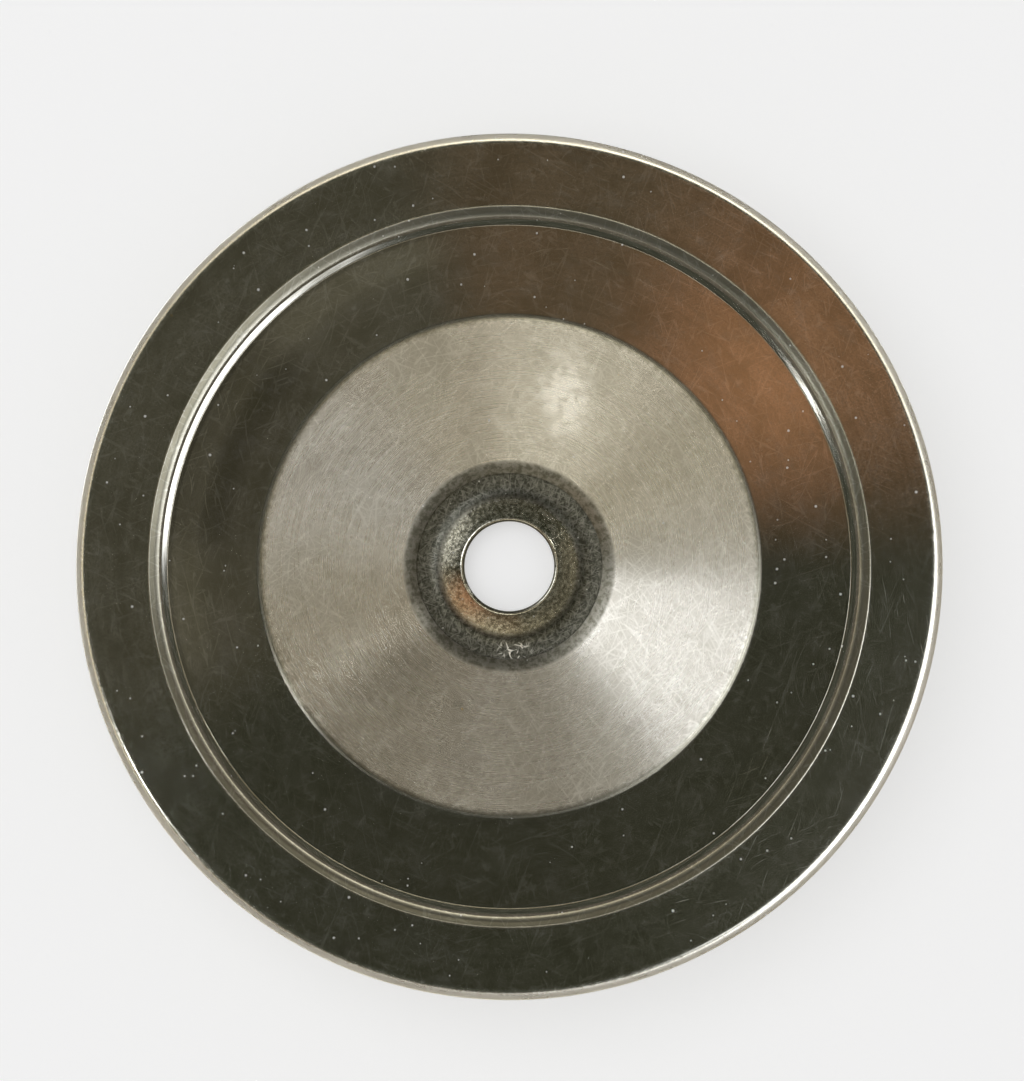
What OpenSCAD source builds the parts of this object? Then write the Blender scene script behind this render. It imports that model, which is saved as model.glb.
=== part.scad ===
// Shaving bowl: a spun pan lapped into a flange ring with a turned-out lip, and a
// heavy collar under the pan around a centre hole. Every piece is a ring about Z.
// Millimetres, +Z up, origin at the centre of the flat foot of the collar.

/* [Rim] */
// Diameter over the rim's lip
rim_d = 150; // [148:1:156]
// Width of the narrow lip that is turned out at the rim
lip_w = 1.3; // [1:0.1:2]
// Slope of the lip, in degrees from the horizontal
lip_slope = 5; // [2:1:8]
// Slope of the outer band, in degrees from the horizontal
band_slope = 34; // [28:1:38]

/* [Bead] */
// Diameter of the tight valley between the outer band and the bead
valley_d = 125.6; // [125.2:0.2:126.4]
// Slope of the bead's outer flank, in degrees from the horizontal
bead_slope = 38; // [30:1:39]
// Radius of the bead's rounded crest
bead_round = 2; // [1.8:0.1:2.4]

/* [Pan] */
// Diameter of the pan's top edge, measured on its inner surface
seam_d = 118.9; // [118.3:0.1:119.2]
// Diameter of the floor, where the wall begins
floor_d = 88; // [86:0.1:90]
// Slope of the floor down to the centre, in degrees
floor_slope = 7; // [5:1:8]
// Slope of the wall at its foot, in degrees from the horizontal
wall_foot_slope = 36; // [33:1:38]
// Slope of the wall at its top, in degrees from the horizontal
wall_top_slope = 41; // [39:1:44]
// Inner radius of the corner between the floor and the wall
corner_round = 3.5; // [2:0.1:4]
// Diameter of the opening in the floor, where the sheet begins to turn down
opening_d = 37; // [36.2:0.2:37.4]
// Diameter of the edge of the sheet that is turned down into the collar
turned_edge_d = 32.8; // [32.4:0.1:33.4]
// Height of the floor's upper surface at the opening above the foot
floor_z = 3.2; // [3.1:0.1:3.6]

/* [Sheet] */
// Thickness of the sheet of the pan and of the flange ring
sheet_t = 0.7; // [0.6:0.1:0.8]
// Length of the flange ring's skirt that laps under the pan's wall
lap_w = 4; // [3:0.5:4.5]

/* [Collar] */
// Diameter of the hole
hole_d = 15.8; // [14:0.2:17]
// Diameter over the collar, under the pan
collar_d = 46; // [44:1:60]
// Diameter of the lowest ring of the moat in the collar's top
moat_d = 28.4; // [27:0.2:29]
// Height of the moat's lowest ring above the foot
moat_z = 0.9; // [0.7:0.1:1]
// Slope of the collar's hub, which rises from the moat to the hole
hub_slope = 34; // [28:1:38]
// Chamfer around the flat foot under the collar
foot_chamfer = 0.6; // [0.3:0.1:1]

/* [Hidden] */

$fn = 180;            // segments of each turn
ARC_STEP = 7.5;       // largest turn between two points of a bend, in degrees
FIT_GAP = 0.03;       // gap between pieces that are pressed or soldered together

NICKEL = [0.62, 0.61, 0.56];
NICKEL_DARK = [0.40, 0.40, 0.36];
COLLAR_GREY = [0.33, 0.34, 0.30];
SOLDER_GREY = [0.70, 0.70, 0.68];

// Pan
opening_r = opening_d / 2;
turn_round = 2;                        // bend of the sheet's edge into the opening
turn_slope = 45;                       // how steeply that edge ends
turned_edge_r = turned_edge_d / 2;
wall_mid_r = (floor_d + seam_d) / 4;   // where the wall's two slopes would cross
wall_round = 80;                       // bend between them

// Flange ring
bead_corner_r = valley_d / 2 - 2.1;    // where the bead's two flanks would cross
valley_round = 0.35;
lip_round = 2;                         // bend between the band and the lip
lip_end_r = rim_d / 2 - sheet_t * sin(lip_slope);

// Collar
collar_r = collar_d / 2;
moat_r = moat_d / 2;
hub_round = 0.5;                       // rounding of the hub into the hole
hub_foot_round = 3;                    // hollow between the moat and the hub
seat_toe = 0.1;                        // how far the seat runs on past the sheet's edge

// ---- outlines of bent sheet ------------------------------------------------
// A sheet's upper surface is a chain of straight runs with a round bend at each
// corner. Each point of a path is [radius, height, slope at that point].

function run_dir(slope) = [cos(slope), sin(slope)];
function run_normal(slope) = [-sin(slope), cos(slope)];
function with_slope(p, slope) = [p[0], p[1], slope];

// Point on a straight run from p at the given radius
function on_run(p, slope, r) = [r, p[1] + (r - p[0]) * tan(slope)];

// Round bend about a centre. side is 1 for a hollow bend and -1 for a crest
function bend_about(centre, round, s0, s1, side) =
    let (steps = max(2, ceil(abs(s1 - s0) / ARC_STEP)))
    [for (i = [0 : steps])
        let (s = s0 + (s1 - s0) * i / steps)
        with_slope(centre - side * round * run_normal(s), s)];

// Centre of the round bend where a run of slope s0 meets one of slope s1
function bend_centre(corner, round, s0, s1) =
    corner - round * tan(abs(s1 - s0) / 2) * run_dir(s0)
        + (s1 > s0 ? 1 : -1) * round * run_normal(s0);

// Round bend that fills that corner
function bend(corner, round, s0, s1) =
    bend_about(bend_centre(corner, round, s0, s1), round, s0, s1, s1 > s0 ? 1 : -1);

function top_side(path) = [for (p = path) [p[0], p[1]]];
function under_side(path, t) = [for (p = path) [p[0], p[1]] - t * run_normal(p[2])];
function reversed(list) = [for (i = [len(list) - 1 : -1 : 0]) list[i]];

// Ring of sheet of thickness t under a path
module sheet_ring(path, t)
    rotate_extrude() polygon(concat(top_side(path), reversed(under_side(path, t))));

// Half cosine wave from z0 to z1, level at both ends, at the fraction f of its length
function wave(z0, z1, f) = z0 + (z1 - z0) * (1 - cos(180 * f)) / 2;

// ---- paths -----------------------------------------------------------------
floor_start = [opening_r, floor_z];
turn_centre = floor_start - turn_round * run_normal(floor_slope);
turn_end = turn_centre + turn_round * run_normal(turn_slope);
pan_corner = on_run(floor_start, floor_slope, floor_d / 2);
pan_mid = on_run(pan_corner, wall_foot_slope, wall_mid_r);
pan_edge = on_run(pan_mid, wall_top_slope, seam_d / 2);
pan_path = concat(
    [with_slope(on_run(turn_end, turn_slope, turned_edge_r), turn_slope)],
    bend_about(turn_centre, turn_round, turn_slope, floor_slope, -1),
    bend(pan_corner, corner_round, floor_slope, wall_foot_slope),
    bend(pan_mid, wall_round, wall_foot_slope, wall_top_slope),
    [with_slope(pan_edge, wall_top_slope)]
);

// The skirt's upper surface lies under the pan's wall and runs on up to the bead
lap_top = pan_edge - (sheet_t + FIT_GAP) * run_normal(wall_top_slope);
skirt_start = lap_top - lap_w * run_dir(wall_top_slope);
bead_corner = on_run(lap_top, wall_top_slope, bead_corner_r);
valley_corner = on_run(bead_corner, -bead_slope, valley_d / 2);
lip_corner = on_run(valley_corner, band_slope, rim_d / 2 - lip_w);
lip_end = on_run(lip_corner, lip_slope, lip_end_r);
flange_path = concat(
    [with_slope(skirt_start, wall_top_slope)],
    bend(bead_corner, bead_round, wall_top_slope, -bead_slope),
    bend(valley_corner, valley_round, -bead_slope, band_slope),
    bend(lip_corner, lip_round, band_slope, lip_slope),
    [with_slope(lip_end, lip_slope)]
);

// The collar's seat follows the pan's underside, just below it, and its turned edge
seat_bend = bend_about(turn_centre, turn_round - sheet_t - FIT_GAP, floor_slope, turn_slope, -1);
seat_top = on_run(seat_bend[0], floor_slope, collar_r);
seat_end = on_run(seat_bend[len(seat_bend) - 1], turn_slope,
                  turned_edge_r + sheet_t * sin(turn_slope) - seat_toe);

// ---- pieces ----------------------------------------------------------------

// Spun pan: floor and wall in one sheet, turned down at the opening
module pan()
    color(NICKEL) sheet_ring(pan_path, sheet_t);

// Outer ring: skirt, bead, valley, band and lip in one sheet
module flange_ring()
    color(NICKEL_DARK) sheet_ring(flange_path, sheet_t);

// Solder between the pan's cut edge and the top of the bead, wiped to a sloping face
module seam_solder() {
    root_slope = 25;      // where the solder begins on the bead's inner side
    end_slope = 8;        // where its face meets the bead, near the crest
    below_edge = 0.25;
    crest_centre = bend_centre(bead_corner, bead_round, wall_top_slope, -bead_slope);
    root = lap_top + FIT_GAP / 2 * (run_normal(wall_top_slope) + run_dir(wall_top_slope));
    face_top = pan_edge + FIT_GAP * run_dir(wall_top_slope)
        - below_edge * run_normal(wall_top_slope);
    on_bead = bend_about(crest_centre, bead_round + FIT_GAP / 2, root_slope, end_slope, -1);
    color(SOLDER_GREY)
        rotate_extrude()
            polygon(concat([face_top, root], top_side(on_bead)));
}

// Turned collar: flat foot, a seat for the pan's floor and its turned edge, then a
// moat and a hub that rises to the hole
module collar() {
    moat_steps = 8;
    hub_foot = bend_about([moat_r, moat_z + hub_foot_round], hub_foot_round, 0, -hub_slope, 1);
    hub_foot_end = top_side(hub_foot)[len(hub_foot) - 1];
    hub_end_r = hole_d / 2 + hub_round * (1 + sin(hub_slope));
    hub_end = on_run(hub_foot_end, -hub_slope, hub_end_r);
    hub_centre = hub_end - hub_round * run_normal(-hub_slope);
    hub_edge = [for (a = [90 - hub_slope : (90 + hub_slope) / 8 : 180])
        hub_centre + hub_round * [cos(a), sin(a)]];
    moat_side = [for (i = [1 : moat_steps - 1])
        let (f = i / moat_steps)
        [seat_end[0] + (moat_r - seat_end[0]) * f, wave(seat_end[1], moat_z, f)]];
    color(COLLAR_GREY)
        rotate_extrude()
            polygon(concat(
                [
                    [hole_d / 2, 0],
                    [collar_r - foot_chamfer, 0],
                    [collar_r, foot_chamfer],
                    seat_top
                ],
                top_side(seat_bend), [seat_end], moat_side, top_side(hub_foot), hub_edge
            ));
}

// Fillet of solder in the corner between the pan's underside and the collar
module collar_solder() {
    fillet_w = 0.8;
    fillet_h = 0.5;
    root = seat_top + [FIT_GAP, 0];
    color(SOLDER_GREY)
        rotate_extrude()
            polygon([
                root,
                root - [0, fillet_h],
                root + fillet_w * run_dir(floor_slope)
            ]);
}

pan();
flange_ring();
seam_solder();
collar();
collar_solder();
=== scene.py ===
"""Shaving bowl: a spun pan, a flange ring with a turned-out lip, and a collar round a centre hole.

Lengths are in metres, +Z is up, and the origin is the centre of the collar's flat foot.
Every piece is a ring about the Z axis, revolved from its cross-section by Geometry Nodes.
"""
import logging
import math
from dataclasses import dataclass, field
from enum import Enum

import bpy
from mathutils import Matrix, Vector


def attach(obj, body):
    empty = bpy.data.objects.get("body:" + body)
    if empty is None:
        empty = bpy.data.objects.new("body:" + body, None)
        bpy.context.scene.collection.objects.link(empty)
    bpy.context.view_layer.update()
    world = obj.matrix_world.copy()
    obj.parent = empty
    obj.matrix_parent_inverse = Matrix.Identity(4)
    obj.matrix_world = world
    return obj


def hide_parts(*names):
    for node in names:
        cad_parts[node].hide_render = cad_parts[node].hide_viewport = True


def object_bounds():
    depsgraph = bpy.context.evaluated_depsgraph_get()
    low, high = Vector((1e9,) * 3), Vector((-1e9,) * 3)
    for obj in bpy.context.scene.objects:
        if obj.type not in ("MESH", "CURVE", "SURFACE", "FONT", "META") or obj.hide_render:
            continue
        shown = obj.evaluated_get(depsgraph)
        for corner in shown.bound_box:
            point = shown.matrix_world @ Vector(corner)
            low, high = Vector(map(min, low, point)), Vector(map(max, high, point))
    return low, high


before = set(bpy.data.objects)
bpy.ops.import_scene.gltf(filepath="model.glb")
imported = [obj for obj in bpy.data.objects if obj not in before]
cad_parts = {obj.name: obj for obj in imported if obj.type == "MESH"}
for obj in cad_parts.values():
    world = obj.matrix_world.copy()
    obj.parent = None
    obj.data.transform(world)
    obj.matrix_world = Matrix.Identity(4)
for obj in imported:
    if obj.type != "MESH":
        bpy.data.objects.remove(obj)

LOG = logging.getLogger("shaving_bowl")
CAD_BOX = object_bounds()
BODY = "root"
MM = 0.001
ACROSS_GROOVES = 0.25    # a quarter turn: highlights stretch square to the grooves
DUST = (1.0, 0.99, 0.95)

Colour = tuple[float, float, float]
Point = tuple[float, float]
Loop = list[Point]
Socket = bpy.types.NodeSocket
Feed = Socket | Colour | float


def deg(value: float) -> float:
    """Degrees to radians."""
    return math.radians(value)


# ---- cross-sections ----


@dataclass(frozen=True)
class Spot:
    """A point of a sheet's upper surface and the slope there, in radians."""

    r: float
    z: float
    slope: float

    def shifted(self, along: float, up: float) -> Point:
        """The point moved along the slope and square to it."""
        c, s = math.cos(self.slope), math.sin(self.slope)
        return (self.r + along * c - up * s, self.z + along * s + up * c)


@dataclass
class SheetOutline:
    """Upper surface of bent sheet, from the centre outwards: straight runs with round bends."""

    turn_step: float = deg(4)
    run_step: float = 1.0 * MM
    trim_share: float = 1.5    # how far from a cut edge the first full point is, in edge radii
    spots: list[Spot] = field(default_factory=list)

    def start(self, r: float, z: float, slope: float) -> None:
        """Sets the inner end of the sheet and the slope there."""
        self.spots.append(Spot(r, z, slope))

    def run_to(self, r: float) -> None:
        """Adds a straight run at the present slope, in short steps.

        Args:
            r: radius at which the run ends.
        """
        last = self.spots[-1]
        steps = max(1, math.ceil(abs(r - last.r) / self.run_step))
        for i in range(1, steps + 1):
            at = last.r + (r - last.r) * i / steps
            self.spots.append(Spot(at, last.z + (at - last.r) * math.tan(last.slope), last.slope))

    def turn(self, radius: float, slope: float) -> None:
        """Adds a round bend from the present slope to a new one.

        Args:
            radius: radius of the bend at the sheet's upper surface.
            slope: slope after the bend, in radians.
        """
        last = self.spots[-1]
        side = 1 if slope > last.slope else -1
        centre = last.shifted(0, side * radius)
        steps = max(2, math.ceil(abs(slope - last.slope) / self.turn_step))
        for i in range(1, steps + 1):
            s = last.slope + (slope - last.slope) * i / steps
            r = centre[0] + side * radius * math.sin(s)
            z = centre[1] - side * radius * math.cos(s)
            self.spots.append(Spot(r, z, s))

    def turn_at(self, corner_r: float, radius: float, slope: float) -> None:
        """Runs on and bends to a new slope.

        Args:
            corner_r: radius at which the two straight runs would cross.
            radius: radius of the bend at the sheet's upper surface.
            slope: slope after the bend, in radians.
        """
        last = self.spots[-1]
        back = radius * math.tan(abs(slope - last.slope) / 2)
        self.run_to(corner_r - back * math.cos(last.slope))
        self.turn(radius, slope)

    def section(self, thickness: float, edge_round: float) -> Loop:
        """Closed cross-section of the sheet, with its two cut edges rounded.

        Args:
            thickness: thickness of the sheet.
            edge_round: radius of the corners of a cut edge.

        Returns:
            (radius, height) points, round the section with the metal on the right.
        """
        inner, outer = self.spots[0], self.spots[-1]
        trim = edge_round * self.trim_share
        body = [s for s in self.spots if min(_apart(s, inner), _apart(s, outer)) > trim]
        top = [s.shifted(0, 0) for s in body]
        under = [s.shifted(0, -thickness) for s in reversed(body)]
        return (_cut_edge(inner, -1, thickness, edge_round)[::-1] + top
                + _cut_edge(outer, 1, thickness, edge_round) + under)


def _apart(a: Spot, b: Spot) -> float:
    """Distance between two points of an outline."""
    return math.hypot(a.r - b.r, a.z - b.z)


def _cut_edge(end: Spot, way: int, thickness: float, radius: float, steps: int = 5) -> Loop:
    """Rounded end of a sheet, from its upper surface to its underside.

    Args:
        end: last point of the upper surface.
        way: 1 at the outer end, -1 at the inner end.
        thickness: thickness of the sheet.
        radius: radius of both corners.
        steps: how many steps each corner has.

    Returns:
        (radius, height) points.
    """
    angles = [math.pi / 2 * i / steps for i in range(steps + 1)]
    upper = [end.shifted(way * radius * (math.sin(a) - 1), radius * (math.cos(a) - 1)) for a in angles]
    lower = [end.shifted(way * radius * (math.cos(a) - 1), radius * (1 - math.sin(a)) - thickness)
             for a in angles]
    return upper + lower


def half_wave(z0: float, z1: float, f: float) -> float:
    """Height on a half cosine wave from z0 to z1 at the fraction f of its length."""
    return z0 + (z1 - z0) * (1 - math.cos(math.pi * f)) / 2


def between(a: Point, b: Point, parts: int) -> Loop:
    """Points that cut the straight line from a to b into equal parts, without its ends."""
    return [(a[0] + (b[0] - a[0]) * i / parts, a[1] + (b[1] - a[1]) * i / parts) for i in range(1, parts)]


def bend(centre: Point, radius: float, start: float, end: float, steps: int) -> Loop:
    """Points of a round bend.

    Args:
        centre: centre of the bend.
        radius: its radius, below zero for a hollow.
        start: slope at its start, in radians.
        end: slope at its end.
        steps: how many steps it has.

    Returns:
        (radius, height) points.
    """
    slopes = [start + (end - start) * i / steps for i in range(steps + 1)]
    return [Spot(*centre, slope).shifted(0, radius) for slope in slopes]


# ---- node graphs ----


class Graph:
    """Short ways to build a node tree."""

    def __init__(self, tree: bpy.types.NodeTree) -> None:
        """Takes the tree that nodes are added to."""
        self.tree = tree

    def add(self, kind: str, feeds: dict[str, Feed] | None = None, **settings: object) -> bpy.types.Node:
        """Adds a node.

        Args:
            kind: type name of the node.
            feeds: what its inputs take, by name.
            settings: its properties.

        Returns:
            The node.
        """
        node = self.tree.nodes.new(kind)
        for name, value in settings.items():
            setattr(node, name, value)
        self.fill(node, feeds or {})
        return node

    def fill(self, node: bpy.types.Node, feeds: dict[str, Feed]) -> None:
        """Feeds inputs of a node by name."""
        for name, value in feeds.items():
            self.put(value, node.inputs[name])

    def put(self, value: Feed, socket: Socket) -> None:
        """Feeds an input.

        Args:
            value: an output to link, or a value to set.
            socket: the input.
        """
        if isinstance(value, Socket):
            self.tree.links.new(value, socket)
        else:
            socket.default_value = value

    def feed(self, kind: str, *values: Feed, out: int | str = 0, **settings: object) -> Socket:
        """Adds a node and feeds its inputs.

        Args:
            kind: type name of the node.
            values: what the inputs take, in their order.
            out: the output that is wanted.
            settings: properties of the node.

        Returns:
            That output.
        """
        node = self.add(kind, **settings)
        for value, socket in zip(values, node.inputs):
            self.put(value, socket)
        return node.outputs[out]

    def math(self, operation: str, *numbers: Feed, clamp: bool = False) -> Socket:
        """Result of a Math node."""
        return self.feed("ShaderNodeMath", *numbers, operation=operation, use_clamp=clamp)

    def times(self, a: Feed, b: Feed) -> Socket:
        """Product of two numbers."""
        return self.math("MULTIPLY", a, b)

    def weigh(self, *parts: tuple[Socket, float], start: float = 0.0, clamp: bool = False) -> Socket:
        """Adds up weighted numbers.

        Args:
            parts: each number and its weight.
            start: what they are added to.
            clamp: whether the sum is kept within 0 to 1.

        Returns:
            The sum.
        """
        total = start
        for count, (part, weight) in enumerate(parts, 1):
            total = self.math("MULTIPLY_ADD", part, weight, total, clamp=clamp and count == len(parts))
        return total

    def vector(self, operation: str, *vectors: Feed) -> Socket:
        """Vector from a Vector Math node."""
        return self.feed("ShaderNodeVectorMath", *vectors, operation=operation)

    def length(self, vector: Socket) -> Socket:
        """Length of a vector."""
        return self.feed("ShaderNodeVectorMath", vector, out="Value", operation="LENGTH")

    def level(self, place: Socket) -> Socket:
        """The place brought to height 0."""
        return self.vector("MULTIPLY", place, (1.0, 1.0, 0.0))

    def join(self, x: Feed, y: Feed, z: Feed) -> Socket:
        """Vector of three numbers."""
        return self.feed("ShaderNodeCombineXYZ", x, y, z)


class SurfaceGraph(Graph):
    """Node graph of a material on a ring about the Z axis."""

    def __init__(self, name: str) -> None:
        """Starts a material.

        Args:
            name: its name.
        """
        self.material = bpy.data.materials.new(name)
        self.material.use_nodes = True
        super().__init__(self.material.node_tree)
        self.shader = self.tree.nodes["Principled BSDF"]
        self.place = self.add("ShaderNodeTexCoord").outputs["Object"]
        self.flat = self.level(self.place)
        self.radius = self.length(self.flat)
        self.height = self.feed("ShaderNodeSeparateXYZ", self.place, out="Z")

    def step(self, value: Feed, low: float, high: float) -> Socket:
        """Smooth step from 0 at low to 1 at high."""
        return self.feed("ShaderNodeMapRange", value, low, high, interpolation_type="SMOOTHSTEP", clamp=True)

    def spread(self, value: Feed, low: float, high: float) -> Socket:
        """Straight map of 0..1 onto low..high."""
        return self.feed("ShaderNodeMapRange", value, 0.0, 1.0, low, high, clamp=True)

    def noise(self, scale: float, detail: float, rough: float = 0.5, at: Socket | None = None) -> Socket:
        """Noise texture.

        Args:
            scale: lumps per metre.
            detail: how many finer layers it has.
            rough: how strong those layers are.
            at: where it is read, if not at the surface's own place.

        Returns:
            Its value, about 0.5 on average.
        """
        place = self.place if at is None else at
        feeds = {"Vector": place, "Scale": scale, "Detail": detail, "Roughness": rough}
        return self.add("ShaderNodeTexNoise", feeds).outputs["Fac"]

    def layers(self, base: Colour, *coats: tuple[Feed, Socket, Feed]) -> Socket:
        """Lays colours over one another.

        Args:
            base: the lowest colour.
            coats: each colour above it, its mask, and how much of it shows where the mask is 1.

        Returns:
            The colour of the surface.
        """
        tone = base
        for colour, mask, share in coats:
            node = self.add("ShaderNodeMix", data_type="RGBA")
            self.put(self.times(mask, share), node.inputs[0])
            for value, socket in zip((tone, colour), node.inputs[6:8]):
                self.put(value if isinstance(value, Socket) else (*value, 1.0), socket)
            tone = node.outputs[2]
        return tone

    def turned_lines(self, per_metre: float, turns: float) -> Socket:
        """Long fine lines that run round the axis.

        Args:
            per_metre: how many lines a metre of radius holds.
            turns: how often a line changes on its way round, per radian.

        Returns:
            Noise, about 0.5 on average.
        """
        around = self.vector("SCALE", self.vector("NORMALIZE", self.flat))
        around.node.inputs["Scale"].default_value = turns
        across = self.join(0.0, 0.0, self.times(self.radius, per_metre))
        return self.noise(1.0, 3.0, 0.6, at=self.vector("ADD", around, across))

    def scuffs(self, *angles: float, length: float, spacing: float, width: float) -> Socket:
        """Fine, nearly straight scratches in several directions, broken off at random.

        Args:
            angles: the directions, in degrees from +X.
            length: typical length.
            spacing: typical distance between neighbours of one direction.
            width: width of a scratch, as a share of the spacing.

        Returns:
            1 on a scratch, 0 off it.
        """
        total = 0.0
        for i, angle in enumerate(angles):
            seed = 0.11 + 0.173 * i + length
            long = length * (0.8 + 0.4 * (i % 2))
            turned = self.feed("ShaderNodeMapping", self.place, (seed, -seed, seed), (0.0, 0.0, deg(-angle)),
                               vector_type="POINT")
            lanes = self.vector("MULTIPLY", turned, (1.0 / long, 1.0 / spacing, 0.0))
            away = self.math("ABSOLUTE", self.math("SUBTRACT", self.noise(1.0, 0.0, at=lanes), 0.5))
            line = self.step(away, 0.45 * width, 0.15 * width)
            breaks = self.noise(1.7, 1.0, at=self.vector("ADD", lanes, (7.3, 1.9, 0.0)))
            total = self.math("MAXIMUM", total, self.times(line, self.step(breaks, 0.48, 0.60)))
        return total

    def patch(self, x: float, y: float, wide: float, high: float) -> Socket:
        """Soft oval patch, with a ragged edge.

        Args:
            x: its centre.
            y: its centre.
            wide: half its width.
            high: half its height.

        Returns:
            1 in its middle, 0 outside.
        """
        off = self.vector("SUBTRACT", self.flat, (x, y, 0.0))
        out = self.length(self.vector("MULTIPLY", off, (1.0 / wide, 1.0 / high, 0.0)))
        ragged = self.math("ADD", out, self.spread(self.noise(300.0, 3.0), -0.4, 0.4))
        return self.step(ragged, 1.2, 0.3)

    def dots(self, cell: float, size: float, share: float, seed: float) -> Socket:
        """Small round specks, scattered at random.

        Args:
            cell: typical distance between places where a speck may be.
            size: radius of the largest speck.
            share: share of the places that have one.
            seed: moves the pattern.

        Returns:
            1 on a speck, 0 off it.
        """
        place = self.level(self.vector("ADD", self.place, (seed, seed, seed)))
        cells = self.add("ShaderNodeTexVoronoi", {"Vector": place, "Scale": 1.0 / cell})
        draw = self.add("ShaderNodeSeparateColor", {"Color": cells.outputs["Color"]})
        has_one = self.math("LESS_THAN", draw.outputs[0], share)
        reach = self.times(self.spread(draw.outputs[1], 0.35, 1.0), size / cell)
        return self.times(has_one, self.math("LESS_THAN", cells.outputs["Distance"], reach))

    def finish(self, colour: Socket, roughness: Socket, height: Socket, depth: float, strength: float,
               matt: Socket | None = None, grain: float = 0.0) -> bpy.types.Material:
        """Connects the shader of a metal surface.

        Args:
            colour: base colour.
            roughness: roughness.
            height: height of the relief, from 0 to 1.
            depth: depth of the relief.
            strength: how strongly the relief shows.
            matt: where dust or a raw scratch hides the metal's mirror, from 0 to 1.
            grain: how strongly the grooves that run round the axis stretch its highlights.

        Returns:
            The finished material.
        """
        bump = self.add("ShaderNodeBump", {"Height": height, "Distance": depth, "Strength": strength})
        self.fill(self.shader, {
            "Base Color": colour,
            "Metallic": 1.0 if matt is None else self.math("SUBTRACT", 1.0, matt, clamp=True),
            "Roughness": roughness,
            "Normal": bump.outputs[0],
            "Tangent": self.feed("ShaderNodeTangent", direction_type="RADIAL", axis="Z"),
            "Anisotropic": grain,
            "Anisotropic Rotation": ACROSS_GROOVES,
        })
        return self.material


# ---- finishes ----
# A noise is 0.5 on average, so where a roughness adds noise, it starts lower by half the weights.


@dataclass(frozen=True)
class FloorFinish:
    """Worn nickel plate of the floor, buffed in circles and scratched in every direction."""

    opening: float
    edge: float
    colour: Colour = (0.61, 0.59, 0.54)
    worn: Colour = (0.95, 0.94, 0.88)
    stain: Colour = (0.38, 0.365, 0.31)
    # dark stain colour, also used for painted shade at the floor's corner and on its turned-down edge
    soot_and_shade: Colour = (0.15, 0.145, 0.11)
    fleck: Colour = (0.62, 0.50, 0.26)
    rough: float = 0.27
    uneven: float = 0.16

    def build(self) -> bpy.types.Material:
        """Makes the material.

        Returns:
            The material.
        """
        g = SurfaceGraph("buffed_nickel_plate")
        circles = g.turned_lines(per_metre=3200.0, turns=2.2)
        broad = g.turned_lines(per_metre=260.0, turns=1.2)
        cloud = g.noise(70.0, 4.0, 0.6)
        grain = g.noise(3000.0, 2.0, 0.7)
        blotch = g.step(g.noise(230.0, 4.0, 0.7), 0.5, 0.68)
        mottle = g.step(g.noise(900.0, 3.0, 0.7), 0.42, 0.62)
        fine = g.scuffs(12.0, 47.0, 83.0, 118.0, 152.0, length=13 * MM, spacing=0.8 * MM, width=0.15)
        bold = g.scuffs(33.0, 64.0, 131.0, length=16 * MM, spacing=2.2 * MM, width=0.07)
        marks = g.weigh((fine, 0.6), (bold, 0.5), clamp=True)
        rubbed = g.spread(g.step(g.noise(520.0, 3.0), 0.4, 0.6), 0.35, 1.0)
        smudge = g.times(g.patch(x=10 * MM, y=30 * MM, wide=5.5 * MM, high=8.5 * MM), rubbed)
        mouth = g.patch(x=-19 * MM, y=-19 * MM, wide=9 * MM, high=6 * MM)
        # painted shade on the turned-down edge at the opening; the same mask also makes it rougher and less
        # metallic
        dull_shaded_turn = g.step(g.radius, self.opening + 0.5 * MM, self.opening - 0.3 * MM)
        ragged = g.weigh((g.radius, 1.0), (mottle, 0.3 * MM))
        # painted shade: the floor darkens over its last millimetre towards the corner with the wall
        corner = g.step(ragged, self.edge - 1.1 * MM, self.edge)
        specks = g.dots(cell=3 * MM, size=0.2 * MM, share=0.40, seed=0.4)
        flecks = g.dots(cell=7 * MM, size=0.3 * MM, share=0.22, seed=2.9)
        tone = g.layers(
            self.colour,
            (self.stain, g.step(cloud, 0.45, 0.75), 0.4),
            (self.stain, blotch, 0.34),
            (self.stain, mottle, 0.12),
            (self.stain, g.step(circles, 0.4, 0.75), 0.1),
            (self.stain, g.step(grain, 0.42, 0.66), 0.36),
            (self.worn, marks, 0.42),
            (DUST, smudge, 1.0),
            (self.soot_and_shade, mouth, 0.126),
            (self.soot_and_shade, corner, 0.75),
            (self.soot_and_shade, dull_shaded_turn, g.spread(mottle, 0.6, 0.95)),
            (self.fleck, flecks, 0.6),
            (DUST, specks, 0.8),
        )
        rough = g.weigh((circles, self.uneven), (cloud, self.uneven), (dull_shaded_turn, 0.12),
                        start=self.rough - self.uneven, clamp=True)
        height = g.weigh((circles, 0.2), (broad, 0.6), (marks, -0.2))
        matt = g.weigh((specks, 1.0), (marks, 0.1), (smudge, 0.15), (dull_shaded_turn, 0.22))
        return g.finish(tone, rough, height, depth=0.012 * MM, strength=0.6, matt=matt, grain=0.9)


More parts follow.
